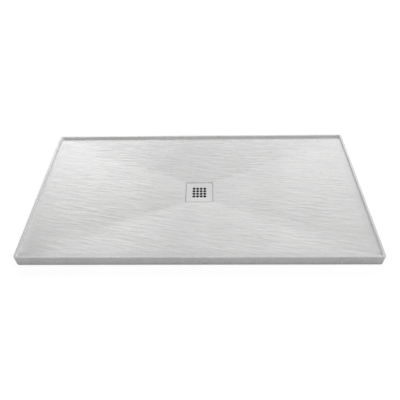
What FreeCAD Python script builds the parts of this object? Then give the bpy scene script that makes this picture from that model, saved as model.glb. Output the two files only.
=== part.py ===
import FreeCAD, Part
import math
import os

import Sketcher

# A rectangular shower tray with a slate-effect floor, and the waste that it carries.
# A thin moulded cap covers a cast core.  The floor falls on four facets to a square pocket,
# where a perforated cover stands on pads over the waste.  Millimetres, +Z up, +X along the
# long side.  The origin is the centre of the base, and -Y is the front.

doc = FreeCAD.newDocument("shower_tray")


# ---------------------------------------------------------------- driving dimensions

DRIVING = [
    # plan of the tray
    ("tray_length", 1500),
    ("tray_depth", 800),
    ("corner_radius", 12),
    # moulded cap and the rim that it forms
    ("skin", 3),
    ("skirt_gap", 1.5),
    ("rim_web", 4),
    ("rim_height", 11),
    ("rim_draft", 3),
    ("rim_round", 3),
    ("lip_round", 2),
    ("recess_corner", 8),
    ("floor_fall", 18),
    # hollows under the core
    ("boss_thickness", 6),
    ("cell_side", 140),
    ("cell_rib", 30),
    ("cell_depth", 11),
    ("edge_band", 40),
    ("recess_margin", 8),
    # perforated cover
    ("cover_margin", 5),
    ("cover_corner", 3),
    ("cover_gap", 2),
    ("cover_sink", 1.5),
    ("cover_thickness", 3.5),
    ("cover_border", 5),
    ("cover_dish", 1.2),
    ("cover_edge_round", 0.8),
    ("cover_clearance", 1),
    ("hole_radius", 7.2),
    ("hole_pitch", 17),
    ("holes_per_side", 4),
    ("pad_radius", 6),
    ("pad_edge", 3),
    # waste flange, gaskets and collar
    ("waste_hole_radius", 45),
    ("flange_land", 12.5),
    ("flange_thickness", 2),
    ("cup_wall", 1.7),
    ("ledge_width", 3.8),
    ("ledge_thickness", 1.5),
    ("gasket_inset", 1),
    ("top_gasket_thickness", 1),
    ("lower_gasket_thickness", 1),
    ("base_clearance", 0.5),
    ("socket_lip", 2),
    ("socket_wall", 7),
    ("socket_step", 1.5),
    ("socket_depth", 8),
    ("collar_flange_thickness", 2.5),
    ("collar_clearance", 0.5),
    ("draw_gap", 0.5),
    # screws and the inserts that they turn in
    ("screw_count", 4),
    ("screw_radius", 2),
    ("screw_head_radius", 4),
    ("screw_edge", 0.75),
    ("screw_fit", 0.05),
    ("screw_tip_gap", 0.5),
    ("drive_slot_width", 1),
    ("drive_slot_depth", 1.2),
    ("drive_slot_end", 1.2),
    ("insert_wall", 0.95),
    ("insert_floor", 3),
    # hair strainer
    ("strainer_rim_thickness", 1.5),
    ("strainer_fit", 0.3),
    ("strainer_wall", 1.2),
    ("basket_clearance", 1),
    ("basket_floor_gap", 1),
    ("knob_radius", 3.5),
    ("knob_drop", 1),
    ("sieve_hole_radius", 1.8),
    ("sieve_ring_step", 6.5),
    ("sieve_web", 2.2),
]

# Heights above the base and radii about the drain, each from the driving dimensions.
DERIVED = [
    ("collar_flange_low", "base_clearance + socket_lip"),
    ("lower_gasket_low", "collar_flange_low + collar_flange_thickness"),
    ("boss_low", "lower_gasket_low + lower_gasket_thickness"),
    ("pocket_floor", "boss_low + boss_thickness"),
    ("flange_low", "pocket_floor + top_gasket_thickness"),
    ("flange_top", "flange_low + flange_thickness"),
    ("ledge_top", "flange_top - strainer_rim_thickness"),
    ("ledge_low", "ledge_top - ledge_thickness"),
    ("collar_top", "ledge_low - draw_gap"),
    ("cover_low", "flange_top + cover_clearance"),
    ("cover_top", "cover_low + cover_thickness"),
    ("floor_low", "cover_top + cover_sink"),
    ("floor_edge", "floor_low + floor_fall"),
    ("rim_top", "floor_edge + rim_height"),
    ("rim_width", "rim_web + 2 * skin"),
    ("flange_radius", "waste_hole_radius + flange_land"),
    ("cover_side", "2 * (flange_radius + cover_margin)"),
    ("pocket_side", "cover_side + 2 * cover_gap"),
    ("pocket_corner", "cover_corner + cover_gap"),
    ("pad_height", "cover_low - pocket_floor"),
    ("collar_radius", "waste_hole_radius - collar_clearance"),
    ("cup_radius", "collar_radius - 2 * (screw_head_radius + screw_edge)"),
    ("opening_radius", "cup_radius - cup_wall"),
    ("throat_radius", "opening_radius - ledge_width"),
    ("socket_radius", "throat_radius + socket_step"),
    ("screw_circle", "(cup_radius + collar_radius) / 2"),
    ("insert_radius", "screw_radius + screw_fit + insert_wall"),
    ("insert_length", "collar_top - collar_flange_low - insert_floor"),
    ("screw_length", "flange_top - collar_top + insert_length - screw_tip_gap"),
    ("strainer_radius", "opening_radius - strainer_fit"),
    ("basket_radius", "throat_radius - basket_clearance"),
    ("basket_low", "base_clearance + socket_depth + basket_floor_gap"),
    ("strainer_height", "flange_top - basket_low"),
]

sizes = doc.addObject("Spreadsheet::Sheet", "Sizes")
for row, (alias, number) in enumerate(DRIVING, start=1):
    sizes.set(f"A{row}", alias.replace("_", " "))
    sizes.set(f"B{row}", str(number))
    sizes.setAlias(f"B{row}", alias)
doc.recompute()

levels = doc.addObject("Spreadsheet::Sheet", "Levels")
derived_names = [alias for alias, formula in DERIVED]


def qualified(formula):
    """The formula with each name led by the sheet that holds it."""
    words = []
    for word in formula.replace("(", " ( ").replace(")", " ) ").split():
        if word in derived_names:
            word = "Levels." + word
        elif word[0].isalpha():
            word = "Sizes." + word
        words.append(word)
    return " ".join(words)


for row, (alias, formula) in enumerate(DERIVED, start=1):
    levels.set(f"A{row}", alias.replace("_", " "))
    levels.setAlias(f"B{row}", alias)
for row, (alias, formula) in enumerate(DERIVED, start=1):
    levels.set(f"B{row}", "=" + qualified(formula).replace("Levels.", ""))
doc.recompute()


def value(formula):
    """A formula's number with the sheets as they stand."""
    return float(sizes.evalExpression(qualified(formula)))


def bind(target, settings):
    """Tie each named property of an object to a formula of the sheets."""
    for name, formula in settings.items():
        target.setExpression(name, qualified(formula))


# ---------------------------------------------------------------- sketches and features


def new_body(name, height="0"):
    """An empty body whose base plane stands at a height above the tray's base."""
    body = doc.addObject("PartDesign::Body", name)
    bind(body, {"Placement.Base.z": height})
    return body


def new_sketch(body, name, plane, height="0"):
    """A sketch on one of the body's own planes, raised along that plane's normal."""
    sketch = body.newObject("Sketcher::SketchObject", name)
    for feature in body.Origin.OriginFeatures:
        if feature.Role == plane:
            sketch.AttachmentSupport = [(feature, "")]
    sketch.MapMode = "FlatFace"
    bind(sketch, {"AttachmentOffset.Base.z": height})
    return sketch


def dimension(sketch, name, kind, places, formula):
    """A named dimension of the sketch, tied to the sheets."""
    index = sketch.addConstraint(Sketcher.Constraint(kind, *places, value(formula)))
    sketch.renameConstraint(index, name)
    bind(sketch, {"Constraints." + name: formula})


def rounded_rectangle(body, name, height, width, depth, radius):
    """A rectangle with round corners, centred on the origin."""
    sketch = new_sketch(body, name, "XY_Plane", height)
    half_width = value(width) / 2
    half_depth = value(depth) / 2
    corner = value(radius)
    corners = []
    for turn in range(4):
        sign_x = 1 if turn in (1, 2) else -1
        sign_y = 1 if turn in (2, 3) else -1
        centre = FreeCAD.Vector(sign_x * (half_width - corner), sign_y * (half_depth - corner), 0)
        start = math.radians(180 + 90 * turn)
        circle = Part.Circle(centre, FreeCAD.Vector(0, 0, 1), corner)
        corners.append(Part.ArcOfCircle(circle, start, start + math.pi / 2))
    for turn in range(4):
        sketch.addGeometry(corners[turn])
    for turn in range(4):
        following = corners[(turn + 1) % 4]
        sketch.addGeometry(Part.LineSegment(corners[turn].EndPoint, following.StartPoint))
    for turn in range(4):
        line = 4 + turn
        sketch.addConstraint(Sketcher.Constraint("Tangent", turn, 2, line, 1))
        sketch.addConstraint(Sketcher.Constraint("Tangent", line, 2, (turn + 1) % 4, 1))
        direction = "Horizontal" if turn % 2 == 0 else "Vertical"
        sketch.addConstraint(Sketcher.Constraint(direction, line))
    for turn in range(1, 4):
        sketch.addConstraint(Sketcher.Constraint("Equal", 0, turn))
    sketch.addConstraint(Sketcher.Constraint("Symmetric", 4, 1, 6, 1, -1, 1))
    dimension(sketch, "corner", "Radius", (0,), radius)
    dimension(sketch, "width", "DistanceX", (7, 1, 5, 2), width)
    dimension(sketch, "depth", "DistanceY", (4, 1, 6, 2), depth)
    return sketch


def circles(body, name, height, places, radius):
    """Equal circles, each with its centre at an (x, y) pair of formulas."""
    sketch = new_sketch(body, name, "XY_Plane", height)
    for index, (along, across) in enumerate(places):
        centre = FreeCAD.Vector(value(along), value(across), 0)
        circle = Part.Circle(centre, FreeCAD.Vector(0, 0, 1), value(radius))
        sketch.addGeometry(circle)
        if index == 0:
            dimension(sketch, "radius", "Radius", (0,), radius)
        else:
            sketch.addConstraint(Sketcher.Constraint("Equal", 0, index))
        tie_point(sketch, index, 3, along, across)
    return sketch


def tie_point(sketch, geometry, end, along, across):
    """Hold one point of the sketch at an (x, y) pair of formulas."""
    for axis, kind, formula in ((-2, "DistanceX", along), (-1, "DistanceY", across)):
        if formula == "0":
            sketch.addConstraint(Sketcher.Constraint("PointOnObject", geometry, end, axis))
        else:
            label = f"{kind[-1].lower()}_{geometry}_{end}"
            dimension(sketch, label, kind, (-1, 1, geometry, end), formula)


def ring_sketch(body, name, height, inner, outer):
    """Two circles about the origin."""
    sketch = new_sketch(body, name, "XY_Plane", height)
    for index, radius in enumerate((outer, inner)):
        circle = Part.Circle(FreeCAD.Vector(0, 0, 0), FreeCAD.Vector(0, 0, 1), value(radius))
        sketch.addGeometry(circle)
        sketch.addConstraint(Sketcher.Constraint("Coincident", index, 3, -1, 1))
        dimension(sketch, "outer" if index == 0 else "inner", "Radius", (index,), radius)
    return sketch


def turned(body, name, outline):
    """A solid of revolution about Z, from a closed outline of (radius, height) formulas."""
    sketch = new_sketch(body, name + "_outline", "XZ_Plane")
    points = [FreeCAD.Vector(value(radius), value(height), 0) for radius, height in outline]
    count = len(points)
    for index in range(count):
        sketch.addGeometry(Part.LineSegment(points[index], points[(index + 1) % count]))
    for index in range(count):
        following = (index + 1) % count
        sketch.addConstraint(Sketcher.Constraint("Coincident", index, 2, following, 1))
    for index, (radius, height) in enumerate(outline):
        tie_point(sketch, index, 1, radius, height)
    revolution = body.newObject("PartDesign::Revolution", name)
    revolution.Profile = sketch
    revolution.ReferenceAxis = (sketch, ["V_Axis"])
    revolution.Angle = 360
    return revolution


def pad(body, name, sketch, length):
    """Raise a sketch upwards."""
    feature = body.newObject("PartDesign::Pad", name)
    feature.Profile = sketch
    bind(feature, {"Length": length})
    return feature


def pocket(body, name, sketch, length):
    """Sink a sketch downwards, and make sure that it takes material away."""
    doc.recompute()
    before = body.Shape.Volume
    feature = body.newObject("PartDesign::Pocket", name)
    feature.Profile = sketch
    bind(feature, {"Length": length})
    doc.recompute()
    if not body.Shape.Volume < before:
        raise RuntimeError(name + " takes nothing away")
    return feature


def sink_loft(body, name, upper, lower):
    """Take away the ruled body between two outlines."""
    feature = body.newObject("PartDesign::SubtractiveLoft", name)
    feature.Profile = upper
    feature.Sections = [lower]
    feature.Ruled = True
    return feature


def round_edges(body, name, base, radius, wanted):
    """Round the edges of a feature for which wanted(edge) is true."""
    doc.recompute()
    names = [f"Edge{number}" for number, edge in enumerate(base.Shape.Edges, start=1) if wanted(edge)]
    feature = body.newObject("PartDesign::Fillet", name)
    feature.Base = (base, names)
    bind(feature, {"Radius": radius})
    return feature


def cylinder(name, radius, height, along="0", across="0", foot="0"):
    """An upright cylinder with its foot at a place given by formulas."""
    solid = doc.addObject("Part::Cylinder", name)
    bind(solid, {"Radius": radius, "Height": height})
    place(solid, along, across, foot)
    return solid


def cone(name, low_radius, high_radius, height, along, across, foot):
    """An upright cone with its foot at a place given by formulas."""
    solid = doc.addObject("Part::Cone", name)
    bind(solid, {"Radius1": low_radius, "Radius2": high_radius, "Height": height})
    place(solid, along, across, foot)
    return solid


def box(name, width, depth, height, along, across, foot):
    """A box centred on a place given by formulas."""
    solid = doc.addObject("Part::Box", name)
    bind(solid, {"Length": width, "Width": depth, "Height": height})
    place(solid, f"{along} - ( {width} ) / 2", f"{across} - ( {depth} ) / 2", foot)
    return solid


def place(solid, along, across, foot):
    """Tie an object's position to formulas."""
    settings = {
        "Placement.Base.x": along,
        "Placement.Base.y": across,
        "Placement.Base.z": foot,
    }
    bind(solid, settings)


def joined(name, solids):
    """Several solids as one object."""
    group = doc.addObject("Part::MultiFuse", name)
    group.Shapes = solids
    return group


def cut(name, base, tool):
    """A solid less another."""
    result = doc.addObject("Part::Cut", name)
    result.Base = base
    result.Tool = tool
    return result


def on_circle(count, radius, first_turn=0.0):
    """Places at even turns round a circle, as (x, y) pairs of formulas."""
    places = []
    for index in range(count):
        turn = 2 * math.pi * (index + first_turn) / count
        cosine = f"{math.cos(turn):.9f}"
        sine = f"{math.sin(turn):.9f}"
        places.append((f"{cosine} * ( {radius} )", f"{sine} * ( {radius} )"))
    return places


# ---------------------------------------------------------------- tray: cap and core


def tray_block(name, foot, inset):
    """The tray as a solid block, with every face moved inwards by an inset.

    The outline, the falling floor, the drain pocket and the waste hole of the cap's outside
    and of the core's outside are the same form, one skin's thickness apart."""
    body = new_body(name)
    outline = rounded_rectangle(
        body, name + "_outline", foot,
        f"tray_length - 2 * ( {inset} )", f"tray_depth - 2 * ( {inset} )",
        f"corner_radius - ( {inset} )")
    pad(body, name + "_slab", outline, f"rim_top - ( {inset} ) - ( {foot} )")

    def recess(label, height, margin):
        """The outline of the inside of the rim, a margin in from the tray's edge."""
        return rounded_rectangle(
            body, f"{name}_{label}", f"{height} - ( {inset} )",
            f"tray_length - 2 * ( {margin} - ( {inset} ) )",
            f"tray_depth - 2 * ( {margin} - ( {inset} ) )",
            f"recess_corner + ( {inset} )")

    lip = recess("lip", "rim_top", "rim_width")
    wall_foot = recess("wall_foot", "floor_edge", "rim_width + rim_draft")
    sink_loft(body, name + "_rim_wall", lip, wall_foot)

    drain_edge = rounded_rectangle(
        body, name + "_drain_edge", f"floor_low - ( {inset} )",
        f"pocket_side + 2 * ( {inset} )", f"pocket_side + 2 * ( {inset} )",
        f"pocket_corner + ( {inset} )")
    sink_loft(body, name + "_floor", wall_foot, drain_edge)
    pocket(body, name + "_drain_pocket", drain_edge, "floor_low - pocket_floor")
    hole = circles(body, name + "_waste_circle", "pocket_floor", [("0", "0")], "waste_hole_radius")
    waste_hole = pocket(body, name + "_waste_hole", hole, "pocket_floor + 1")
    return body, waste_hole


def is_level(edge, height):
    """Whether an edge lies at one height."""
    bounds = edge.BoundBox
    return abs(bounds.ZMin - height) < 0.001 and abs(bounds.ZMax - height) < 0.001


def reach(edge):
    """How far an edge's middle lies inside the tray's straight sides."""
    middle = edge.valueAt((edge.FirstParameter + edge.LastParameter) / 2)
    return min(value("tray_length") / 2 - abs(middle.x), value("tray_depth") / 2 - abs(middle.y))


def on_outer_rim(edge):
    """The top edge of the tray's outside, along the sides and round the corners."""
    return is_level(edge, value("rim_top")) and reach(edge) < value("rim_width") / 2


def on_inner_rim(edge):
    """The top edge of the basin, along the sides and round the corners."""
    return is_level(edge, value("rim_top")) and reach(edge) >= value("rim_width") / 2


# The cap is the tray's skin: fascia, rim, floor and pocket in one moulding.
cap_block, cap_waste_hole = tray_block("cap_block", "skirt_gap", "0")
rim_edge = round_edges(
    cap_block, "cap_block_rim_round", cap_waste_hole, "rim_round", on_outer_rim)
round_edges(cap_block, "cap_block_lip_round", rim_edge, "lip_round", on_inner_rim)

# The core fills the cap and bears on the ground.
core_block = tray_block("core_block", "0", "skin")[0]

# Square cells under the core leave ribs between them, and stop short of the waste recess.
cell_pitch = value("cell_side + cell_rib")
columns = int(value("tray_length - 2 * skin - 2 * edge_band + cell_rib") / cell_pitch)
rows = int(value("tray_depth - 2 * skin - 2 * edge_band + cell_rib") / cell_pitch)
recess_reach = value("flange_radius + recess_margin + cell_rib / 2")
hollows = []
for column in range(columns):
    for row in range(rows):
        steps_along = column - (columns - 1) / 2
        steps_across = row - (rows - 1) / 2
        near_x = max(0.0, abs(steps_along) * cell_pitch - value("cell_side") / 2)
        near_y = max(0.0, abs(steps_across) * cell_pitch - value("cell_side") / 2)
        if math.hypot(near_x, near_y) < recess_reach:
            continue
        hollows.append(box(
            f"cell_{column}_{row}", "cell_side", "cell_side", "cell_depth",
            f"{steps_along} * ( cell_side + cell_rib )",
            f"{steps_across} * ( cell_side + cell_rib )", "0"))
hollows.append(cylinder("waste_recess", "flange_radius + recess_margin", "boss_low"))

tray_cap = cut("tray_cap", cap_block, core_block)
tray_core = cut("tray_core", core_block, joined("core_hollows", hollows))


# ---------------------------------------------------------------- cover and pads

# The cover is a square plate, dished on four facets towards its field of round holes.
drain_cover = new_body("drain_cover", "cover_low")
cover_outline = rounded_rectangle(
    drain_cover, "cover_outline", "0", "cover_side", "cover_side", "cover_corner")
pad(drain_cover, "cover_plate", cover_outline, "cover_thickness")
dish_rim = rounded_rectangle(
    drain_cover, "dish_rim", "cover_thickness",
    "cover_side - 2 * cover_border", "cover_side - 2 * cover_border", "cover_corner")
dish_floor = rounded_rectangle(
    drain_cover, "dish_floor", "cover_thickness - cover_dish",
    "holes_per_side * hole_pitch", "holes_per_side * hole_pitch", "cover_corner")
sink_loft(drain_cover, "cover_dish_facets", dish_rim, dish_floor)
holes_per_side = int(round(value("holes_per_side")))
hole_steps = [step - (holes_per_side - 1) / 2 for step in range(holes_per_side)]
hole_places = [(f"{x} * hole_pitch", f"{y} * hole_pitch") for x in hole_steps for y in hole_steps]
hole_field = circles(drain_cover, "hole_field", "cover_thickness", hole_places, "hole_radius")
holes = pocket(drain_cover, "cover_holes", hole_field, "cover_thickness + 1")


def on_cover_rim(edge):
    """The top edge of the cover's outside."""
    middle = edge.valueAt((edge.FirstParameter + edge.LastParameter) / 2)
    outside = max(abs(middle.x), abs(middle.y)) > value("(cover_side - cover_border) / 2")
    return outside and is_level(edge, value("cover_thickness"))


round_edges(drain_cover, "cover_rim_round", holes, "cover_edge_round", on_cover_rim)

# A round rubber pad under each corner of the cover stands on the pocket's floor.
pad_place = "cover_side / 2 - pad_radius - pad_edge"
pads = []
for number, (sign_x, sign_y) in enumerate(((-1, -1), (1, -1), (1, 1), (-1, 1)), start=1):
    pads.append(cylinder(
        f"pad_{number}", "pad_radius", "pad_height",
        f"{sign_x} * ( {pad_place} )", f"{sign_y} * ( {pad_place} )", "pocket_floor"))
cover_pads = joined("cover_pads", pads)


# ---------------------------------------------------------------- waste

# The flange clamps the pocket's floor from above.  Its cup carries the strainer on a ledge.
flange_blank = new_body("flange_blank", "ledge_low")
turned(flange_blank, "flange_turned", [
    ("throat_radius", "0"),
    ("cup_radius", "0"),
    ("cup_radius", "flange_low - ledge_low"),
    ("flange_radius", "flange_low - ledge_low"),
    ("flange_radius", "flange_top - ledge_low"),
    ("opening_radius", "flange_top - ledge_low"),
    ("opening_radius", "ledge_thickness"),
    ("throat_radius", "ledge_thickness"),
])

# Countersunk screws draw the flange and the collar together through the waste hole.
screw_count = int(round(value("screw_count")))
screw_places = on_circle(screw_count, "screw_circle")
head_height = "screw_head_radius - screw_radius"
screws = []
screw_holes = []
insert_shells = []
insert_bores = []
insert_sockets = []
for number, (along, across) in enumerate(screw_places, start=1):
    screws.append(cylinder(
        f"screw_shank_{number}", "screw_radius", "screw_length",
        along, across, "flange_top - screw_length"))
    screws.append(cone(
        f"screw_head_{number}", "screw_radius", "screw_head_radius", head_height,
        along, across, f"flange_top - ( {head_height} )"))
    screw_holes.append(cylinder(
        f"screw_clearance_{number}", "screw_radius + screw_fit",
        "flange_top - ledge_low + 1", along, across, "ledge_low - 0.5"))
    screw_holes.append(cone(
        f"countersink_{number}", "screw_radius + screw_fit", "screw_head_radius + screw_fit",
        head_height, along, across, f"flange_top - ( {head_height} )"))
    insert_shells.append(cylinder(
        f"insert_shell_{number}", "insert_radius", "insert_length",
        along, across, "collar_top - insert_length"))
    insert_bores.append(cylinder(
        f"insert_bore_{number}", "screw_radius + screw_fit", "insert_length + 1",
        along, across, "collar_top - insert_length - 0.5"))
    insert_sockets.append(cylinder(
        f"insert_socket_{number}", "insert_radius + screw_fit", "insert_length + 1",
        along, across, "collar_top - insert_length"))

waste_flange = cut("waste_flange", flange_blank, joined("flange_screw_holes", screw_holes))

# A cross recess in each head takes the driver.
drive_slots = []
for number, (along, across) in enumerate(screw_places, start=1):
    slot_length = "2 * ( screw_head_radius - drive_slot_end )"
    slot_foot = "flange_top - drive_slot_depth"
    drive_slots.append(box(
        f"slot_along_{number}", slot_length, "drive_slot_width", "drive_slot_depth + 1",
        along, across, slot_foot))
    drive_slots.append(box(
        f"slot_across_{number}", "drive_slot_width", slot_length, "drive_slot_depth + 1",
        along, across, slot_foot))
flange_screws = cut(
    "flange_screws", joined("screw_blanks", screws), joined("screw_recesses", drive_slots))
screw_inserts = cut(
    "screw_inserts", joined("insert_blanks", insert_shells), joined("insert_threads", insert_bores))


def washer(name, foot, height):
    """A flat ring that seals against the tray round the waste hole."""
    body = new_body(name, foot)
    ring = ring_sketch(
        body, name + "_ring", "0",
        "waste_hole_radius + gasket_inset", "flange_radius - gasket_inset")
    pad(body, name + "_sheet", ring, height)
    return body


top_gasket = washer("top_gasket", "pocket_floor", "top_gasket_thickness")
lower_gasket = washer("lower_gasket", "lower_gasket_low", "lower_gasket_thickness")

# The collar clamps from below.  The socket in its foot takes the neck of a trap.
collar_blank = new_body("collar_blank", "base_clearance")
turned(collar_blank, "collar_turned", [
    ("socket_radius", "0"),
    ("socket_radius + socket_wall", "0"),
    ("socket_radius + socket_wall", "socket_lip"),
    ("flange_radius", "socket_lip"),
    ("flange_radius", "socket_lip + collar_flange_thickness"),
    ("collar_radius", "socket_lip + collar_flange_thickness"),
    ("collar_radius", "collar_top - base_clearance"),
    ("throat_radius", "collar_top - base_clearance"),
    ("throat_radius", "socket_depth"),
    ("socket_radius", "socket_depth"),
])
waste_collar = cut("waste_collar", collar_blank, joined("insert_sockets", insert_sockets))

# The strainer is a shallow sieve that hangs by its rim in the flange's cup.
hair_strainer = new_body("hair_strainer", "basket_low")
turned(hair_strainer, "strainer_turned", [
    ("0", "0"),
    ("basket_radius", "0"),
    ("basket_radius", "strainer_height - strainer_rim_thickness"),
    ("strainer_radius", "strainer_height - strainer_rim_thickness"),
    ("strainer_radius", "strainer_height"),
    ("basket_radius - strainer_wall", "strainer_height"),
    ("basket_radius - strainer_wall", "strainer_wall"),
    ("knob_radius", "strainer_wall"),
    ("knob_radius", "strainer_height - knob_drop"),
    ("0", "strainer_height - knob_drop"),
])
sieve_places = []
ring_number = 1
while True:
    ring_radius = f"knob_radius + sieve_web + sieve_hole_radius + {ring_number - 1} * sieve_ring_step"
    outer_limit = "basket_radius - strainer_wall - sieve_hole_radius"
    if value(ring_radius) > value(outer_limit):
        break
    spacing = value("2 * sieve_hole_radius + sieve_web")
    count = int(2 * math.pi * value(ring_radius) / spacing)
    sieve_places.extend(on_circle(count, ring_radius, 0.5 * (ring_number % 2)))
    ring_number += 1
sieve = circles(hair_strainer, "sieve_field", "strainer_wall", sieve_places, "sieve_hole_radius")
pocket(hair_strainer, "sieve_holes", sieve, "strainer_wall + 1")


# ---------------------------------------------------------------- check and write

PIECES = [
    tray_cap, tray_core, drain_cover, cover_pads, waste_flange, flange_screws,
    screw_inserts, top_gasket, lower_gasket, waste_collar, hair_strainer,
]

doc.recompute()
for item in doc.Objects:
    if "Invalid" in item.State or "Error" in item.State:
        raise RuntimeError(f"{item.Label} failed: {item.State}")
for piece in PIECES:
    if piece.Shape.isNull() or not piece.Shape.isValid():
        raise RuntimeError(piece.Label + " is not a valid shape")
    if not piece.Shape.Solids:
        raise RuntimeError(piece.Label + " holds no solid")

os.makedirs("parts", exist_ok=True)
for piece in PIECES:
    piece.Shape.exportStep(f"parts/{piece.Label}.step")
    bounds = piece.Shape.BoundBox
    print(f"{piece.Label}: {len(piece.Shape.Solids)} solid(s), {piece.Shape.Volume:.0f} mm3, "
          f"z {bounds.ZMin:.2f} to {bounds.ZMax:.2f}")
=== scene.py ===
import math

import bmesh
import bpy
from mathutils import Matrix, Vector, noise


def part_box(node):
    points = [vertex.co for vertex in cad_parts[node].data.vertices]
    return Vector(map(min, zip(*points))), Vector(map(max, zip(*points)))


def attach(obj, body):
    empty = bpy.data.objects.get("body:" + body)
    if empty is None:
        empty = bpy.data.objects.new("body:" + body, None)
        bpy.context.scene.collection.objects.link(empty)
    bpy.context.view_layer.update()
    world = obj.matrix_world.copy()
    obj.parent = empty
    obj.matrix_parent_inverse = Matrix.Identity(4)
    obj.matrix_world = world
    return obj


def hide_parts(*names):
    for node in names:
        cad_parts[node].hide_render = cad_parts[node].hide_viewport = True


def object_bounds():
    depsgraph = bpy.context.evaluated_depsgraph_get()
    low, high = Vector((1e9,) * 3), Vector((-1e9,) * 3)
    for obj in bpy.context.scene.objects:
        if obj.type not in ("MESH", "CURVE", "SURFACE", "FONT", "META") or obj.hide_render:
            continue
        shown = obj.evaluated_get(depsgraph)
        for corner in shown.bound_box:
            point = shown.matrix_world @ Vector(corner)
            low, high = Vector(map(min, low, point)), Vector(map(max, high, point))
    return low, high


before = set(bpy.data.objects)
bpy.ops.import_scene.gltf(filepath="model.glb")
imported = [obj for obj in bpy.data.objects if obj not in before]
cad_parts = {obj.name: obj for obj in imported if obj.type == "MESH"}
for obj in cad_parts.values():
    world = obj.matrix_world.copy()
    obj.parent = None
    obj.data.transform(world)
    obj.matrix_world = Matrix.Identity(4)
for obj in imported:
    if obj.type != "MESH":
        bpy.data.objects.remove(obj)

cad_low, cad_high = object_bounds()


# ------------------------------------------------------------------ core
# The core is resin stone, poured into the back of the cap and left to set.
# It bears on the ground.  Its cast face is matt, with grit and small pin holes.

STONE_PALE = (0.47, 0.45, 0.41, 1)
STONE_DARK = (0.33, 0.31, 0.28, 1)
STONE_MATT = (0.92, 0.78)
GRIT_SCALE = 420.0
GRIT_HEIGHT = 0.0006
PIT_SPAN = (0.05, 0.3)
PIT_DEPTH = (-0.6, 0.0)

# The spans in which most of a noise's output lies, and the span of a mask.
WIDE_SPAN = (0.3, 0.7)
NARROW_SPAN = (0.35, 0.65)
MASK_SPAN = (0.0, 1.0)

# The colour mix node's sockets: its share, the colours that it mixes, and the mixed colour.
MIX_SHARE = 0
MIX_FROM = 6
MIX_TO = 7
MIX_COLOUR = 2


def effect_group(name, outputs):
    """A node group that takes a place and a scale: its tree, its input and its output node."""
    tree = bpy.data.node_groups.new(name, "ShaderNodeTree")
    for label, kind in (("Vector", "NodeSocketVector"), ("Scale", "NodeSocketFloat")):
        tree.interface.new_socket(label, in_out="INPUT", socket_type=kind)
    for label in outputs:
        tree.interface.new_socket(label, in_out="OUTPUT", socket_type="NodeSocketFloat")
    return tree, tree.nodes.new("NodeGroupInput"), tree.nodes.new("NodeGroupOutput")


def add_node(tree, kind, **settings):
    """A node of the tree with some of its inputs set by name."""
    made = tree.nodes.new(kind)
    for label, setting in settings.items():
        made.inputs[label.replace("_", " ")].default_value = setting
    return made


def mapped_range(tree, source, span, result):
    """The source stretched from one range to another, each given by its two ends."""
    stretch = tree.nodes.new("ShaderNodeMapRange")
    tree.links.new(source, stretch.inputs["Value"])
    for label, number in zip(("From Min", "From Max", "To Min", "To Max"), span + result):
        stretch.inputs[label].default_value = number
    return stretch.outputs["Result"]


def build_grit():
    """Speckle of two sizes with small round pits, for cast stone."""
    tree, source, sink = effect_group("cast grit", ("Speckle", "Height"))
    speckle = add_node(tree, "ShaderNodeTexNoise", Detail=6.0, Roughness=0.7)
    pits = add_node(tree, "ShaderNodeTexVoronoi")
    for texture in (speckle, pits):
        tree.links.new(source.outputs["Vector"], texture.inputs["Vector"])
        tree.links.new(source.outputs["Scale"], texture.inputs["Scale"])
    pit_depth = mapped_range(tree, pits.outputs["Distance"], PIT_SPAN, PIT_DEPTH)
    total = add_node(tree, "ShaderNodeMath")
    tree.links.new(speckle.outputs["Fac"], total.inputs[0])
    tree.links.new(pit_depth, total.inputs[1])
    tree.links.new(speckle.outputs["Fac"], sink.inputs["Speckle"])
    tree.links.new(total.outputs[0], sink.inputs["Height"])
    return tree


CAST_GRIT = build_grit()


def new_material(name, effect, scale):
    """A material with its shader and one effect group that follows the object's own coordinates."""
    material = bpy.data.materials.new(name)
    material.use_nodes = True
    tree = material.node_tree
    shader = tree.nodes["Principled BSDF"]
    place = tree.nodes.new("ShaderNodeTexCoord")
    group = tree.nodes.new("ShaderNodeGroup")
    group.node_tree = effect
    tree.links.new(place.outputs["Object"], group.inputs["Vector"])
    group.inputs["Scale"].default_value = scale
    return material, tree, shader, group


def two_tones(tree, shader, source, span, dark, pale):
    """Colour the surface from dark to pale over a span of the source, and give back the colour."""
    blend = tree.nodes.new("ShaderNodeMix")
    blend.data_type = "RGBA"
    blend.inputs[MIX_FROM].default_value = dark
    blend.inputs[MIX_TO].default_value = pale
    tree.links.new(mapped_range(tree, source, span, MASK_SPAN), blend.inputs[MIX_SHARE])
    tree.links.new(blend.outputs[MIX_COLOUR], shader.inputs["Base Color"])
    return blend.outputs[MIX_COLOUR]


def mattness(tree, shader, source, span, ends):
    """Take the surface from one roughness to another over a span of the source."""
    tree.links.new(mapped_range(tree, source, span, ends), shader.inputs["Roughness"])


def bumps(tree, shader, height, distance):
    """Raise the surface's shading by a height map, in metres."""
    bump = add_node(tree, "ShaderNodeBump", Distance=distance)
    tree.links.new(height, bump.inputs["Height"])
    tree.links.new(bump.outputs["Normal"], shader.inputs["Normal"])


def dress(node, material):
    """Give a carried-over piece its own finish."""
    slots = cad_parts[node].data.materials
    slots.clear()
    slots.append(material)


def cast_stone():
    """Matt stone in two tones, with grit and pin holes."""
    material, tree, shader, grit = new_material("cast_stone", CAST_GRIT, GRIT_SCALE)
    two_tones(tree, shader, grit.outputs["Speckle"], NARROW_SPAN, STONE_DARK, STONE_PALE)
    mattness(tree, shader, grit.outputs["Speckle"], WIDE_SPAN, STONE_MATT)
    bumps(tree, shader, grit.outputs["Height"], GRIT_HEIGHT)
    return material


dress("tray_core", cast_stone())


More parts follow.
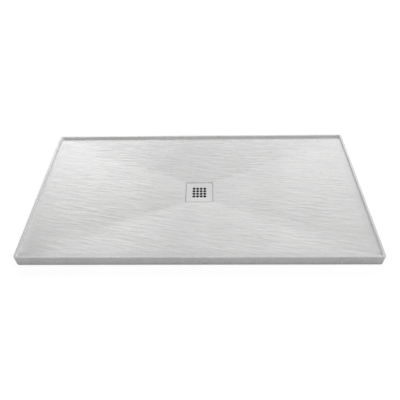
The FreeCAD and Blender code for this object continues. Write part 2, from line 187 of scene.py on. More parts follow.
# ------------------------------------------------------------------ cap
# The cap is one vacuum-formed sheet, satin white: fascia, rim, floor and drain pocket.
# Its floor falls to the pocket on four facets, and is textured like riven slate: thin plates
# whose ledges run a little askew to the long side and fade out beside the rim.

# The sizes are in millimetres.  The object's own come from the frame.
MM = 0.001
TINY = 1e-6
LENGTH = 2 * cad_high[0] / MM
DEPTH = 2 * cad_high[1] / MM
RIM_TOP = cad_high[2] / MM
SKIRT_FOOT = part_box("tray_cap")[0].z / MM
FOOT_EASE = 0.4
SKIN = 3.0
OUTER_CORNER = 12.0
RECESS_CORNER = 8.0
RIM_WIDTH = 10.0
RIM_DRAFT = 3.0
RIM_ROUND = 1.8
LIP_ROUND = 2.0
COVE = 3.5
FLOOR_EDGE = 39.0
FLOOR_LOW = 21.0
POCKET_HALF = 64.5
POCKET_CORNER = 5.0
POCKET_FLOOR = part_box("cover_pads")[0].z / MM
MOUTH_ROUND = 1.2
WASTE_RADIUS = 45.0
CAP_WHITE = (0.73, 0.73, 0.727, 1)
CAP_SHADE = (0.68, 0.68, 0.678, 1)
CAP_SATIN = (0.25, 0.31)
CAP_GRAIN_SCALE = 700.0
CAP_GRAIN_HEIGHT = 0.00006
CAP_SHARP = 50

# How finely the cap is meshed: the floor's steps, those at its corners, and the arcs' steps.
STEP_ALONG = 7.5
STEP_ACROSS = 2.05
POCKET_CORNER_STEP = 3.2
RIM_CORNER_STEP = 1.4
COVE_STEPS = 4
LIP_STEPS = 3
BROW_STEPS = 4
MOUTH_STEPS = 3

# The draft of the rim's inner wall, where its cove and lip have their centres, and the floor's
# edge round the pocket.
DRAFT_TURN = math.atan2(RIM_DRAFT, RIM_TOP - FLOOR_EDGE)
WALL_LEAN = RIM_DRAFT / (RIM_TOP - FLOOR_EDGE)
COVE_CENTRE = FLOOR_EDGE + COVE
COVE_START = RIM_WIDTH + WALL_LEAN * (RIM_TOP - COVE_CENTRE) + COVE / math.cos(DRAFT_TURN)
LIP_CENTRE = RIM_WIDTH + WALL_LEAN * LIP_ROUND - LIP_ROUND / math.cos(DRAFT_TURN)
MOUTH_HALF = POCKET_HALF + MOUTH_ROUND

# The valleys between the facets are eased over this share of the fall, but not near the rim.
VALLEY_EASE = 0.28
VALLEY_FADE = 60.0

# Beside the two side rims the floor rises again: how far, and over what width.
EDGE_LIFT = 2.2
EDGE_REACH = 26.0

# The slate's grain: its slant, how that eases towards the right and towards the back, and the
# waves that bend it: length along the grain, width across it, reach, and place in the noise.
GRAIN_SLANT = 0.14
GRAIN_EASE = 0.00005
GRAIN_FAN = 0.0002
BENDS = [(210.0, 95.0, 9.0, 3.1), (64.0, 34.0, 3.2, 8.7), (24.0, 15.0, 1.0, 1.7)]

# Its layers of unevenness, from coarse to fine: length, width, height, and place in the noise.
# Their sum is cut into plates: how thick one is, the share of that which its ledge takes, how
# far the fine layers shift where the coarse ones rise, and the most that the relief reaches.
LAYERS = [
    (170.0, 60.0, 0.10, 5.2),
    (110.0, 20.0, 0.12, 14.6),
    (85.0, 9.5, 0.30, 2.7),
    (56.0, 5.4, 0.30, 11.3),
    (38.0, 3.4, 0.17, 23.9),
]
SLATE_PLATE = 0.22
PLATE_EDGE = 0.38
PLATE_SLANT = 5.0
SLATE_LIMIT = 0.8

# Over what width the relief fades out at the long rims, the side rims and the pocket, and how
# much calmer it is towards the side rims than in the middle.
RIM_FADE = 20.0
SIDE_FADE = 45.0
POCKET_FADE = 10.0
SIDE_CALM = 0.28

# Painted shade: the white is painted a little darker in the slate's hollows, from its highest plates to
# its lowest.
PAINTED_SHADE_DEPTHS = (-0.4, 0.5)
PAINTED_HOLLOW_SHADE = (1.0, 0.94)


def spans(stops, steps):
    """Coordinates from stop to stop, each stretch divided evenly into steps no longer than given."""
    points = [stops[0]]
    for start, stop, step in zip(stops, stops[1:], steps):
        count = max(1, math.ceil((stop - start) / step - TINY))
        points.extend(start + (stop - start) * (k + 1) / count for k in range(count))
    return points


def mirrored_spans(stops, steps):
    """The same on both sides of the middle, from positive stops that run outwards from it."""
    outwards = spans([0.0] + stops, steps)
    return [-point for point in reversed(outwards[1:])] + outwards


def rounded(x, y, half_x, half_y, corner):
    """A point of a square-cornered grid moved so that the outline's corners are round."""
    over_x = abs(x) - (half_x - corner)
    over_y = abs(y) - (half_y - corner)
    if over_x <= 0 or over_y <= 0:
        return x, y
    scale = max(over_x, over_y) / math.hypot(over_x, over_y)
    new_x = half_x - corner + over_x * scale
    new_y = half_y - corner + over_y * scale
    return math.copysign(new_x, x), math.copysign(new_y, y)


def station(x, y, half_x, half_y, corner):
    """Where a point of the outline lies: its share of the straight sides, and its corner's turn."""
    over_x = max(0.0, abs(x) - (half_x - corner))
    over_y = max(0.0, abs(y) - (half_y - corner))
    straight_x = x / (half_x - corner) if over_x == 0 else math.copysign(1, x)
    straight_y = y / (half_y - corner) if over_y == 0 else math.copysign(1, y)
    size = math.hypot(over_x, over_y)
    return straight_x, straight_y, math.copysign(over_x / size, x), math.copysign(over_y / size, y)


def outline(stations, half_x, half_y, corner):
    """The same stations on a rounded rectangle of another size."""
    return [
        (sx * (half_x - corner) + cx * corner, sy * (half_y - corner) + cy * corner)
        for sx, sy, cx, cy in stations
    ]


def smooth_step(value):
    """From 0 to 1 with a soft start and a soft end."""
    value = min(1.0, max(0.0, value))
    return value * value * (3 - 2 * value)


def slate(x, y):
    """How far the slate's relief lies below the smooth floor, or above it where negative."""
    across = y + x * (GRAIN_SLANT - GRAIN_FAN * y) - GRAIN_EASE * x * x
    bent = across
    for length, width, reach, seed in BENDS:
        bent += reach * noise.noise(Vector((x / length, across / width, seed)))
    rise = 0.0
    for length, width, height, seed in LAYERS:
        rise += height * noise.noise(Vector((x / length, (bent + PLATE_SLANT * rise) / width, seed)))
    level = rise / SLATE_PLATE
    plate = math.floor(level)
    step = smooth_step((level - plate - 0.5) / PLATE_EDGE + 0.5)
    return min(SLATE_LIMIT, max(-SLATE_LIMIT, -SLATE_PLATE * (plate + step)))


def floor_height(x, y):
    """The height of the floor without its slate, and the share of the slate's relief there."""
    half_x = LENGTH / 2 - COVE_START
    half_y = DEPTH / 2 - COVE_START
    to_side = half_x - abs(x)
    to_long_rim = half_y - abs(y)
    to_pocket = math.hypot(max(0.0, abs(x) - MOUTH_HALF), max(0.0, abs(y) - MOUTH_HALF))
    rise_x = (abs(x) - POCKET_HALF) / (half_x - POCKET_HALF)
    rise_y = (abs(y) - POCKET_HALF) / (half_y - POCKET_HALF)
    rise = max(rise_x, rise_y, 0.0)
    ease = VALLEY_EASE * rise * smooth_step(min(to_side, to_long_rim) / VALLEY_FADE)
    overlap = max(0.0, ease - abs(rise_x - rise_y))
    if overlap > 0:
        rise += overlap * overlap / ease / 4
    lift = EDGE_LIFT * max(0.0, 1 - to_side / EDGE_REACH) ** 2 * smooth_step(to_long_rim / EDGE_REACH)
    share = smooth_step(to_pocket / POCKET_FADE) * (1 - SIDE_CALM * (x / half_x) ** 2)
    share *= smooth_step(to_side / SIDE_FADE) * smooth_step(to_long_rim / RIM_FADE)
    return FLOOR_LOW + (FLOOR_EDGE - FLOOR_LOW) * rise + lift, share


def arc(centre, height, radius, start, stop, count):
    """Points of an arc in a section, from one turn in degrees to another, both included."""
    turns = [math.radians(start + (stop - start) * k / count) for k in range(count + 1)]
    return [(centre + radius * math.cos(t), height + radius * math.sin(t)) for t in turns]


# The rim in section: how far in from the fascia each ring lies, its height, its corner radius.
lean = math.degrees(DRAFT_TURN)
cove = arc(COVE_START, COVE_CENTRE, COVE, 270, 180 + lean, COVE_STEPS)
lip = arc(LIP_CENTRE, RIM_TOP - LIP_ROUND, LIP_ROUND, lean, 90, LIP_STEPS)
brow = arc(RIM_ROUND, RIM_TOP - RIM_ROUND, RIM_ROUND, 90, 180, BROW_STEPS)
wall_section = [(inset, height, RECESS_CORNER - (inset - RIM_WIDTH)) for inset, height in cove[1:]]
wall_section += [(inset, height, RECESS_CORNER) for inset, height in lip]
rim_section = [(inset, height, OUTER_CORNER - inset) for inset, height in brow]
rim_section += [
    (0.0, SKIRT_FOOT + FOOT_EASE, OUTER_CORNER),
    (FOOT_EASE, SKIRT_FOOT, OUTER_CORNER - FOOT_EASE),
    (SKIN, SKIRT_FOOT, OUTER_CORNER - SKIN),
    (SKIN, RIM_TOP - SKIN, OUTER_CORNER - SKIN),
    (RIM_WIDTH - SKIN, RIM_TOP - SKIN, RECESS_CORNER + SKIN),
    (RIM_WIDTH - SKIN + RIM_DRAFT, FLOOR_EDGE - SKIN, RECESS_CORNER + SKIN),
]


def build_cap():
    """The cap as one closed mesh, with the relief's depth kept on its points."""
    half_x = LENGTH / 2 - COVE_START
    half_y = DEPTH / 2 - COVE_START
    corner = RECESS_CORNER - (COVE_START - RIM_WIDTH)
    pocket_corner = POCKET_CORNER + MOUTH_ROUND
    stops = [MOUTH_HALF - pocket_corner, MOUTH_HALF]
    along, across = (
        mirrored_spans(stops + [half - corner, half], [step, POCKET_CORNER_STEP, step, RIM_CORNER_STEP])
        for half, step in ((half_x, STEP_ALONG), (half_y, STEP_ACROSS))
    )
    points = []
    relief = []
    faces = []

    def add_point(x, y, z, depth=0.0):
        points.append((x * MM, y * MM, z * MM))
        relief.append(depth)
        return len(points) - 1

    grid = {}
    for column, x in enumerate(along):
        for row, y in enumerate(across):
            if max(abs(x), abs(y)) < MOUTH_HALF - TINY:
                continue
            new_x, new_y = rounded(x, y, half_x, half_y, corner)
            facets, share = floor_height(new_x, new_y)
            depth = share * slate(new_x, new_y)
            grid[column, row] = add_point(new_x, new_y, facets - depth, depth)
    for column in range(len(along) - 1):
        for row in range(len(across) - 1):
            spots = [(column, row), (column + 1, row), (column + 1, row + 1), (column, row + 1)]
            middle_x = abs(along[column] + along[column + 1]) / 2
            middle_y = abs(across[row] + across[row + 1]) / 2
            if max(middle_x, middle_y) > MOUTH_HALF:
                faces.append([grid[spot] for spot in spots])

    def edge_loop(first_column, last_column, first_row, last_row):
        """The grid's places round a rectangle, anticlockwise from its lowest corner."""
        loop = [(column, first_row) for column in range(first_column, last_column)]
        loop += [(last_column, row) for row in range(first_row, last_row)]
        loop += [(column, last_row) for column in range(last_column, first_column, -1)]
        loop += [(first_column, row) for row in range(last_row, first_row, -1)]
        return loop

    def ring(places, heights):
        """Points at these places, each at its own height."""
        return [add_point(x, y, z) for (x, y), z in zip(places, heights)]

    def join(inner, outer):
        """Quads between two rings that have the same stations."""
        count = len(inner)
        for k in range(count):
            following = (k + 1) % count
            faces.append([inner[k], inner[following], outer[following], outer[k]])

    # Outwards over the cove, the rim and the fascia, then back inside the skirt.  The wall's
    # foot follows the floor's edge up and down, and its lip doesn't.
    rim_places = edge_loop(0, len(along) - 1, 0, len(across) - 1)
    rim_stations = [station(along[c], across[r], half_x, half_y, corner) for c, r in rim_places]
    last = [grid[place] for place in rim_places]
    lifts = [points[point][2] / MM - FLOOR_EDGE for point in last]
    for inset, height, radius in wall_section:
        places = outline(rim_stations, LENGTH / 2 - inset, DEPTH / 2 - inset, radius)
        share = (RIM_TOP - height) / (RIM_TOP - FLOOR_EDGE)
        following = ring(places, [height + lift * share for lift in lifts])
        join(last, following)
        last = following
    for inset, height, radius in rim_section:
        places = outline(rim_stations, LENGTH / 2 - inset, DEPTH / 2 - inset, radius)
        following = ring(places, [height] * len(places))
        join(last, following)
        last = following
    under_floor = last

    # Down the pocket to the waste hole, then back out under the pocket.
    first_column = along.index(next(x for x in along if abs(x + MOUTH_HALF) < TINY))
    last_column = len(along) - 1 - first_column
    first_row = across.index(next(y for y in across if abs(y + MOUTH_HALF) < TINY))
    last_row = len(across) - 1 - first_row
    mouth_places = edge_loop(first_column, last_column, first_row, last_row)
    mouth_stations = [
        station(along[c], across[r], MOUTH_HALF, MOUTH_HALF, pocket_corner) for c, r in mouth_places
    ]
    last = [grid[place] for place in mouth_places]
    mouth = arc(MOUTH_HALF, FLOOR_LOW - MOUTH_ROUND, MOUTH_ROUND, 90, 180, MOUTH_STEPS)
    pocket_rings = [(out, height, out - MOUTH_HALF + pocket_corner) for out, height in mouth]
    pocket_rings.append((POCKET_HALF, POCKET_FLOOR, POCKET_CORNER))
    for half, height, radius in pocket_rings:
        places = outline(mouth_stations, half, half, radius)
        following = ring(places, [height] * len(places))
        join(following, last)
        last = following
    hole = []
    for x, y in places:
        scale = WASTE_RADIUS / math.hypot(x, y)
        hole.append((x * scale, y * scale))
    for height in (POCKET_FLOOR, POCKET_FLOOR - SKIN):
        following = ring(hole, [height] * len(hole))
        join(following, last)
        last = following
    places = outline(mouth_stations, POCKET_HALF + SKIN, POCKET_HALF + SKIN, POCKET_CORNER + SKIN)
    for height in (POCKET_FLOOR - SKIN, FLOOR_LOW - SKIN):
        following = ring(places, [height] * len(places))
        join(following, last)
        last = following

    # Close the underside of the floor between its two rings, side by side, with triangles.
    # A ring's turns are the places along it where its corners lie.
    outer_turns = [0, len(along) - 1, len(along) + len(across) - 2, 2 * len(along) + len(across) - 3]
    wide, tall = last_column - first_column, last_row - first_row
    inner_turns = [0, wide, wide + tall, 2 * wide + tall]
    for side in range(4):
        outer_stop = (outer_turns + [len(under_floor)])[side + 1]
        inner_stop = (inner_turns + [len(last)])[side + 1]
        outer = [under_floor[k % len(under_floor)] for k in range(outer_turns[side], outer_stop + 1)]
        inner = [last[k % len(last)] for k in range(inner_turns[side], inner_stop + 1)]
        a = b = 0
        while a < len(outer) - 1 or b < len(inner) - 1:
            next_a = (a + 1) / (len(outer) - 1)
            next_b = (b + 1) / (len(inner) - 1)
            if next_a <= next_b:
                faces.append([outer[a], outer[a + 1], inner[b]])
                a += 1
            else:
                faces.append([outer[a], inner[b + 1], inner[b]])
                b += 1
    mesh = bpy.data.meshes.new("tray_cap_form")
    mesh.from_pydata(points, [], faces)
    depths = mesh.attributes.new("slate_depth", "FLOAT", "POINT")
    depths.data.foreach_set("value", relief)
    return mesh


def finish_mesh(name, mesh, sharp_degrees):
    """Turn every face outwards, shade the mesh smooth but for sharp edges, and make its object."""
    work = bmesh.new()
    work.from_mesh(mesh)
    bmesh.ops.recalc_face_normals(work, faces=work.faces)
    open_edges = sum(1 for edge in work.edges if not edge.is_manifold)
    work.to_mesh(mesh)
    work.free()
    if open_edges:
        print(name, "has", open_edges, "edges that don't close")
    mesh.shade_smooth()
    mesh.set_sharp_from_angle(angle=math.radians(sharp_degrees))
    piece = bpy.data.objects.new(name, mesh)
    bpy.context.scene.collection.objects.link(piece)
    return piece


def build_moulded_grain():
    """The faint orange peel of moulded plastic, with slow changes of tone and shine."""
    tree, source, sink = effect_group("moulded grain", ("Height", "Tone", "Shine"))
    peel = add_node(tree, "ShaderNodeTexNoise", Detail=3.0, Roughness=0.55)
    cloud = add_node(tree, "ShaderNodeTexNoise", Scale=7.0, Detail=3.0, Roughness=0.5)
    smear = add_node(tree, "ShaderNodeTexNoise", Scale=23.0, Detail=4.0, Roughness=0.6)
    for texture in (peel, cloud, smear):
        tree.links.new(source.outputs["Vector"], texture.inputs["Vector"])
    tree.links.new(source.outputs["Scale"], peel.inputs["Scale"])
    for texture, label in ((peel, "Height"), (cloud, "Tone"), (smear, "Shine")):
        tree.links.new(texture.outputs["Fac"], sink.inputs[label])
    return tree


MOULDED_GRAIN = build_moulded_grain()


def slate_white():
    """The cap's satin white, with painted shade that darkens it a little in the slate's hollows."""
    material, tree, shader, grain = new_material("slate_white", MOULDED_GRAIN, CAP_GRAIN_SCALE)
    colour = two_tones(tree, shader, grain.outputs["Tone"], WIDE_SPAN, CAP_SHADE, CAP_WHITE)
    # Painted shade: the relief's depth darkens the white, most in the slate's deepest hollows.
    depth = tree.nodes.new("ShaderNodeAttribute")
    depth.attribute_name = "slate_depth"
    shade = mapped_range(tree, depth.outputs["Fac"], PAINTED_SHADE_DEPTHS, PAINTED_HOLLOW_SHADE)
    darker = tree.nodes.new("ShaderNodeMix")
    darker.data_type = "RGBA"
    darker.blend_type = "MULTIPLY"
    darker.inputs[MIX_SHARE].default_value = 1.0
    tree.links.new(colour, darker.inputs[MIX_FROM])
    tree.links.new(shade, darker.inputs[MIX_TO])
    tree.links.new(darker.outputs[MIX_COLOUR], shader.inputs["Base Color"])
    mattness(tree, shader, grain.outputs["Shine"], WIDE_SPAN, CAP_SATIN)
    bumps(tree, shader, grain.outputs["Height"], CAP_GRAIN_HEIGHT)
    return material


tray_cap = finish_mesh("tray_cap_slate", build_cap(), CAP_SHARP)
tray_cap.data.materials.append(slate_white())
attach(tray_cap, "tray")
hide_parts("tray_cap")


# ------------------------------------------------------------------ gaskets
# Two flat rings stamped from black rubber sheet, clamped between the flange and the pocket and
# between the collar and the core.  The sheet is matt, with a faint nap from the press.

RUBBER_BLACK = (0.018, 0.018, 0.018, 1)
RUBBER_GREY = (0.035, 0.035, 0.034, 1)
RUBBER_MATT = (0.62, 0.8)
RUBBER_NAP = 0.0001
GASKET_NAP_SCALE = 1300.0


def black_rubber(name, scale):
    """Matt black rubber, with a faint nap of the scale given."""
    material, tree, shader, grain = new_material(name, MOULDED_GRAIN, scale)
    two_tones(tree, shader, grain.outputs["Shine"], WIDE_SPAN, RUBBER_BLACK, RUBBER_GREY)
    mattness(tree, shader, grain.outputs["Tone"], WIDE_SPAN, RUBBER_MATT)
    bumps(tree, shader, grain.outputs["Height"], RUBBER_NAP)
    return material


for gasket in ("top_gasket", "lower_gasket"):
    dress(gasket, black_rubber(gasket + "_rubber", GASKET_NAP_SCALE))


# ------------------------------------------------------------------ collar and inserts
# The collar is injection moulded in dark grey plastic.  The flange's screws draw it up under
# the core.  They turn in four brass inserts, pressed in while the plastic was hot.

COLLAR_GREY = (0.055, 0.056, 0.058, 1)
COLLAR_DARK = (0.035, 0.036, 0.038, 1)
BRASS_PALE = (0.62, 0.43, 0.17, 1)
BRASS_DARK = (0.45, 0.29, 0.10, 1)
BRASS_POLISH = (0.25, 0.4)
COLLAR_SATIN = (0.42, 0.55)
COLLAR_SHINE = 0.5
PLASTIC_GRAIN_SCALE = 1500.0
PLASTIC_GRAIN_HEIGHT = 0.00008
TOOL_MARK_SCALE = 2200.0
TOOL_MARK_HEIGHT = 0.00003


def dark_plastic(name, dark, pale, satin, shine):
    """Moulded plastic in two dark tones, between two roughnesses."""
    material, tree, shader, grain = new_material(name, MOULDED_GRAIN, PLASTIC_GRAIN_SCALE)
    two_tones(tree, shader, grain.outputs["Shine"], WIDE_SPAN, dark, pale)
    mattness(tree, shader, grain.outputs["Tone"], WIDE_SPAN, satin)
    shader.inputs["Specular IOR Level"].default_value = shine
    bumps(tree, shader, grain.outputs["Height"], PLASTIC_GRAIN_HEIGHT)
    return material


def build_tool_marks():
    """Fine rings left by a lathe or a brush, round the upright axis."""
    tree, source, sink = effect_group("tool marks", ("Height", "Tone"))
    rings = add_node(tree, "ShaderNodeTexNoise", Detail=2.0)
    squash = add_node(tree, "ShaderNodeMapping", Scale=(0.05, 0.05, 1.0))
    tree.links.new(source.outputs["Vector"], squash.inputs["Vector"])
    tree.links.new(squash.outputs["Vector"], rings.inputs["Vector"])
    tree.links.new(source.outputs["Scale"], rings.inputs["Scale"])
    tarnish = add_node(tree, "ShaderNodeTexNoise", Scale=120.0, Detail=4.0)
    tree.links.new(source.outputs["Vector"], tarnish.inputs["Vector"])
    tree.links.new(rings.outputs["Fac"], sink.inputs["Height"])
    tree.links.new(tarnish.outputs["Fac"], sink.inputs["Tone"])
    return tree


TOOL_MARKS = build_tool_marks()


def turned_metal(name, dark, pale, polish):
    """Metal with fine tool marks and a light tarnish, between two roughnesses."""
    material, tree, shader, marks = new_material(name, TOOL_MARKS, TOOL_MARK_SCALE)
    two_tones(tree, shader, marks.outputs["Tone"], NARROW_SPAN, dark, pale)
    shader.inputs["Metallic"].default_value = 1.0
    mattness(tree, shader, marks.outputs["Height"], WIDE_SPAN, polish)
    bumps(tree, shader, marks.outputs["Height"], TOOL_MARK_HEIGHT)
    return material


dress("waste_collar", dark_plastic("collar_grey", COLLAR_DARK, COLLAR_GREY, COLLAR_SATIN, COLLAR_SHINE))
dress("screw_inserts", turned_metal("turned_brass", BRASS_DARK, BRASS_PALE, BRASS_POLISH))


# ------------------------------------------------------------------ flange, screws, strainer
# The flange and the sieve that hangs in it are moulded in black plastic.
# Four countersunk stainless screws hold the flange down.

BLACK_DEEP = (0.004, 0.004, 0.004, 1)
BLACK_SOFT = (0.009, 0.009, 0.009, 1)
BLACK_SATIN = (0.6, 0.7)
BLACK_SHINE = 0.12
STEEL_DARK = (0.42, 0.42, 0.41, 1)
STEEL_PALE = (0.60, 0.60, 0.59, 1)
STEEL_POLISH = (0.24, 0.36)

for moulding, name in (("waste_flange", "flange_black"), ("hair_strainer", "strainer_black")):
    dress(moulding, dark_plastic(name, BLACK_DEEP, BLACK_SOFT, BLACK_SATIN, BLACK_SHINE))
dress("flange_screws", turned_metal("stainless", STEEL_DARK, STEEL_PALE, STEEL_POLISH))


# ------------------------------------------------------------------ drain cover
# The cover is a moulded square plate in the tray's own satin white, but smooth.
# It is dished a little on four facets towards its field of round, eased holes.

COVER_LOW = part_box("drain_cover")[0].z / MM
COVER_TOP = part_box("drain_cover")[1].z / MM
COVER_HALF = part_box("drain_cover")[1].x / MM
COVER_CORNER = 3.0
COVER_ROUND = 0.8
COVER_EDGE_STEPS = 4
COVER_FOOT = 0.3
COVER_SHARP = 40
COVER_SATIN = (0.3, 0.38)
COVER_GRAIN_SCALE = 1100.0
COVER_GRAIN_HEIGHT = 0.00003
HOLES_PER_SIDE = 4
HOLE_PITCH = 17.0
HOLE_RADIUS = 7.2
HOLE_EASE = 0.5
EASE_MIDDLE = 0.3
HOLE_SIDES = 40

# The dish's depth, how far in from the plate's edge it starts, and how it eases into the flat
# border: how far out from its start each ring lies, and how far from the top.
DISH = 1.2
DISH_BORDER = 5.0
DISH_START = [(-1.0, -0.035), (0.0, -0.01), (1.0, 0.0)]


def build_cover():
    """The plate as one closed mesh: hole cells on a grid, then rings out to the edge."""
    work = bmesh.new()
    kept = {}

    def spot(x, y, z):
        """The corner at this place, made once and shared by the faces that meet there."""
        key = (round(x, 4), round(y, 4), round(z, 4))
        if key not in kept:
            kept[key] = work.verts.new((x * MM, y * MM, z * MM))
        return kept[key]

    def join(inner, outer):
        """Quads between two rings that have the same stations."""
        for k in range(len(inner)):
            following = (k + 1) % len(inner)
            work.faces.new((inner[k], inner[following], outer[following], outer[k]))

    per_side = HOLE_SIDES // 4
    square = []
    for side in range(4):
        for k in range(per_side):
            slide = -1 + 2 * k / per_side
            square.append([(slide, -1), (1, slide), (-slide, 1), (-1, -slide)][side])
    dish_floor = COVER_TOP - DISH
    section = [
        (HOLE_RADIUS + HOLE_EASE, dish_floor),
        (HOLE_RADIUS + HOLE_EASE * EASE_MIDDLE, dish_floor - HOLE_EASE * EASE_MIDDLE),
        (HOLE_RADIUS, dish_floor - HOLE_EASE),
        (HOLE_RADIUS, COVER_LOW + HOLE_EASE),
        (HOLE_RADIUS + HOLE_EASE, COVER_LOW),
    ]
    middle = (HOLES_PER_SIDE - 1) / 2
    for column in range(HOLES_PER_SIDE):
        for row in range(HOLES_PER_SIDE):
            x = (column - middle) * HOLE_PITCH
            y = (row - middle) * HOLE_PITCH
            frame_loop = [(x + a * HOLE_PITCH / 2, y + b * HOLE_PITCH / 2) for a, b in square]
            loops = [[spot(p, q, dish_floor) for p, q in frame_loop]]
            for radius, height in section:
                loops.append([
                    spot(x + radius * a / math.hypot(a, b), y + radius * b / math.hypot(a, b), height)
                    for a, b in square
                ])
            loops.append([spot(p, q, COVER_LOW) for p, q in frame_loop])
            for inner, outer in zip(loops, loops[1:]):
                join(inner, outer)

    field = HOLES_PER_SIDE * HOLE_PITCH / 2
    count = HOLES_PER_SIDE * per_side
    border = []
    for side in range(4):
        for k in range(count):
            slide = field * (-1 + 2 * k / count)
            border.append([(slide, -field), (field, slide), (-slide, field), (-field, -slide)][side])
    stations = [station(x, y, field, field, COVER_CORNER) for x, y in border]
    dish_half = COVER_HALF - DISH_BORDER
    rings = [(dish_half + out, COVER_TOP + rise, COVER_CORNER) for out, rise in DISH_START]
    edge = arc(COVER_HALF - COVER_ROUND, COVER_TOP - COVER_ROUND, COVER_ROUND, 90, 0, COVER_EDGE_STEPS)
    rings += [(out, height, COVER_CORNER - COVER_HALF + out) for out, height in edge]
    rings += [
        (COVER_HALF, COVER_LOW + COVER_FOOT, COVER_CORNER),
        (COVER_HALF - COVER_FOOT, COVER_LOW, COVER_CORNER - COVER_FOOT),
    ]
    last = [spot(x, y, dish_floor) for x, y in border]
    for half, height, radius in rings:
        following = [spot(x, y, height) for x, y in outline(stations, half, half, radius)]
        join(last, following)
        last = following
    join(last, [spot(x, y, COVER_LOW) for x, y in border])
    mesh = bpy.data.meshes.new("drain_cover_form")
    work.to_mesh(mesh)
    work.free()
    return mesh


def smooth_white():
    """The cap's white without the slate, and a little more matt."""
    material, tree, shader, grain = new_material("smooth_white", MOULDED_GRAIN, COVER_GRAIN_SCALE)
    two_tones(tree, shader, grain.outputs["Tone"], WIDE_SPAN, CAP_SHADE, CAP_WHITE)
    mattness(tree, shader, grain.outputs["Shine"], WIDE_SPAN, COVER_SATIN)
    bumps(tree, shader, grain.outputs["Height"], COVER_GRAIN_HEIGHT)
    return material


drain_cover = finish_mesh("drain_cover_plate", build_cover(), COVER_SHARP)
drain_cover.data.materials.append(smooth_white())
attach(drain_cover, "cover")
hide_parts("drain_cover")


# ------------------------------------------------------------------ cover pads
# Four round pads of black rubber, glued under the cover's corners, stand in the pocket.
# They keep the plate from rattling and leave the water a way under it.

PAD_NAP_SCALE = 1800.0

dress("cover_pads", black_rubber("pad_rubber", PAD_NAP_SCALE))


# ------------------------------------------------------------------ floor, light and camera
# A wide pale floor that shows white, a soft sky, and soft boxes on all sides of the tray, of
# which those behind it bring out the slate.  The camera stands in front of the long side and
# looks down a little more steeply than forty-five degrees.

WHITE = (1, 1, 1, 1)
FLOOR_REACH = 30.0

# How much light the paper sends back and how much it glows: where the tray covers it, for the light
# that it sheds on the tray, and as the camera sees it.  Where the tray covers it, the paper is painted
# near black and doesn't glow: painted shade under the tray.
COVERED_EDGE = 0.01
PAINTED_SHADE_UNDER_TRAY = 0.02
PAPER_BOUNCE = 0.33
PAPER_GLOW = 0.17
SEEN_BOUNCE = 0.22
SEEN_GLOW = 0.86

SKY_STRENGTH = 0.08
SEEN_SKY_STRENGTH = 1.0
LAMP_DISTANCE = 9.0
LAMP_SIDE = 3.2

# Each lamp's azimuth, from the back towards the right, its elevation, its watts, and whether
# the satin floor mirrors it: where it did, a low one would be a white sheet from the far side.
LAMPS = [
    ("back_left_box", -22, 34, 226, True),
    ("back_box", 8, 36, 118, True),
    ("back_right_box", 31, 35, 142, True),
    ("right_box", 90, 8, 205, False),
    ("right_high_box", 90, 50, 180, True),
    ("left_box", -90, 10, 150, False),
    ("front_box", 180, 25, 236, False),
    ("top_box", 0, 85, 55, True),
]

# The camera's place, its turns in degrees, and its lens, worked out from a focal length in the
# photograph's pixels.
CAMERA_PLACE = (0.0389, -1.3660, 1.3907)
CAMERA_PITCH = 46.177
CAMERA_YAW = -1.541
CAMERA_ROLL = 1.370
PHOTO_WIDTH = 400
FOCAL_PIXELS = 409.15
SENSOR_WIDTH = 36.0
CAMERA_REACH = 100.0


def paper(tree, open_floor, bounce, glow):
    """Matt paper that bounces light and glows a little, but is painted near black, as painted shade,
    where the tray covers it.
    """
    matt = tree.nodes.new("ShaderNodeBsdfDiffuse")
    # Painted shade: under the tray the paper's colour drops to near black.
    colour = mapped_range(tree, open_floor, MASK_SPAN, (PAINTED_SHADE_UNDER_TRAY, bounce))
    tree.links.new(colour, matt.inputs["Color"])
    lift = add_node(tree, "ShaderNodeEmission", Color=WHITE)
    strength = mapped_range(tree, open_floor, MASK_SPAN, (0.0, glow))
    tree.links.new(strength, lift.inputs["Strength"])
    total = tree.nodes.new("ShaderNodeAddShader")
    tree.links.new(matt.outputs[0], total.inputs[0])
    tree.links.new(lift.outputs[0], total.inputs[1])
    return total.outputs[0]


def build_floor():
    """Pale paper that the camera sees as white, though it keeps the tray's faint shadow."""
    mesh = bpy.data.meshes.new("floor_sheet")
    corners = [(x * FLOOR_REACH, y * FLOOR_REACH, 0.0) for x, y in ((-1, -1), (1, -1), (1, 1), (-1, 1))]
    mesh.from_pydata(corners, [], [(0, 1, 2, 3)])
    floor = bpy.data.objects.new("studio_floor", mesh)
    bpy.context.scene.collection.objects.link(floor)
    material = bpy.data.materials.new("studio_paper")
    material.use_nodes = True
    tree = material.node_tree
    tree.nodes.clear()
    sink = tree.nodes.new("ShaderNodeOutputMaterial")
    place = tree.nodes.new("ShaderNodeTexCoord")
    axes = tree.nodes.new("ShaderNodeSeparateXYZ")
    tree.links.new(place.outputs["Object"], axes.inputs[0])
    open_floor = tree.nodes.new("ShaderNodeMath")
    open_floor.operation = "MAXIMUM"
    for k, (axis, reach) in enumerate((("X", cad_high[0]), ("Y", cad_high[1]))):
        distance = tree.nodes.new("ShaderNodeMath")
        distance.operation = "ABSOLUTE"
        tree.links.new(axes.outputs[axis], distance.inputs[0])
        outside = tree.nodes.new("ShaderNodeMath")
        outside.operation = "GREATER_THAN"
        outside.inputs[1].default_value = reach - COVERED_EDGE
        tree.links.new(distance.outputs[0], outside.inputs[0])
        tree.links.new(outside.outputs[0], open_floor.inputs[k])
    seen = tree.nodes.new("ShaderNodeLightPath")
    choose = tree.nodes.new("ShaderNodeMixShader")
    tree.links.new(seen.outputs["Is Camera Ray"], choose.inputs[0])
    tree.links.new(paper(tree, open_floor.outputs[0], PAPER_BOUNCE, PAPER_GLOW), choose.inputs[1])
    tree.links.new(paper(tree, open_floor.outputs[0], SEEN_BOUNCE, SEEN_GLOW), choose.inputs[2])
    tree.links.new(choose.outputs[0], sink.inputs["Surface"])
    mesh.materials.append(material)


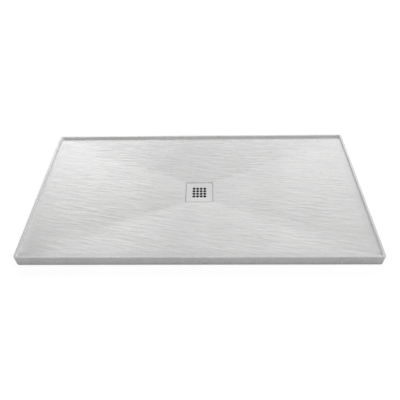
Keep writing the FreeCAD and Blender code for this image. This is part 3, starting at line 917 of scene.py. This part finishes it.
def build_sky():
    """A faint even light from everywhere, that the camera sees as white."""
    world = bpy.data.worlds.new("studio_sky")
    bpy.context.scene.world = world
    world.use_nodes = True
    tree = world.node_tree
    tree.nodes.clear()
    sink = tree.nodes.new("ShaderNodeOutputWorld")
    seen = tree.nodes.new("ShaderNodeLightPath")
    sky = add_node(tree, "ShaderNodeBackground", Color=WHITE, Strength=SKY_STRENGTH)
    seen_sky = add_node(tree, "ShaderNodeBackground", Color=WHITE, Strength=SEEN_SKY_STRENGTH)
    choose = tree.nodes.new("ShaderNodeMixShader")
    tree.links.new(seen.outputs["Is Camera Ray"], choose.inputs[0])
    tree.links.new(sky.outputs[0], choose.inputs[1])
    tree.links.new(seen_sky.outputs[0], choose.inputs[2])
    tree.links.new(choose.outputs[0], sink.inputs["Surface"])


def soft_box(name, azimuth, elevation, watts, mirrored):
    """A square lamp aimed at the drain."""
    turn, rise = math.radians(azimuth), math.radians(elevation)
    place = LAMP_DISTANCE * Vector((
        math.sin(turn) * math.cos(rise), math.cos(turn) * math.cos(rise), math.sin(rise)))
    lamp = bpy.data.lights.new(name, "AREA")
    lamp.shape = "SQUARE"
    lamp.size = LAMP_SIDE
    lamp.energy = watts
    box = bpy.data.objects.new(name, lamp)
    bpy.context.scene.collection.objects.link(box)
    box.location = place
    box.visible_glossy = mirrored
    box.rotation_euler = (-place).to_track_quat("-Z", "Y").to_euler()


def build_camera():
    """The photograph's camera, from its place, its turns and its lens."""
    pitch, yaw, roll = (math.radians(angle) for angle in (CAMERA_PITCH, CAMERA_YAW, CAMERA_ROLL))
    ahead = Vector((
        math.sin(yaw) * math.cos(pitch), math.cos(yaw) * math.cos(pitch), -math.sin(pitch)))
    level = Vector((math.cos(yaw), -math.sin(yaw), 0))
    below = ahead.cross(level)
    right = math.cos(roll) * level + math.sin(roll) * below
    down = math.cos(roll) * below - math.sin(roll) * level
    data = bpy.data.cameras.new("photo_camera")
    data.sensor_fit = "HORIZONTAL"
    data.sensor_width = SENSOR_WIDTH
    data.lens = FOCAL_PIXELS / PHOTO_WIDTH * SENSOR_WIDTH
    data.clip_end = CAMERA_REACH
    camera = bpy.data.objects.new("photo_camera", data)
    bpy.context.scene.collection.objects.link(camera)
    turn = Matrix((right, -down, -ahead)).transposed()
    camera.matrix_world = Matrix.Translation(CAMERA_PLACE) @ turn.to_4x4()
    bpy.context.scene.camera = camera


build_floor()
build_sky()
for lamp_row in LAMPS:
    soft_box(*lamp_row)
build_camera()
bpy.context.scene.view_settings.view_transform = "Standard"
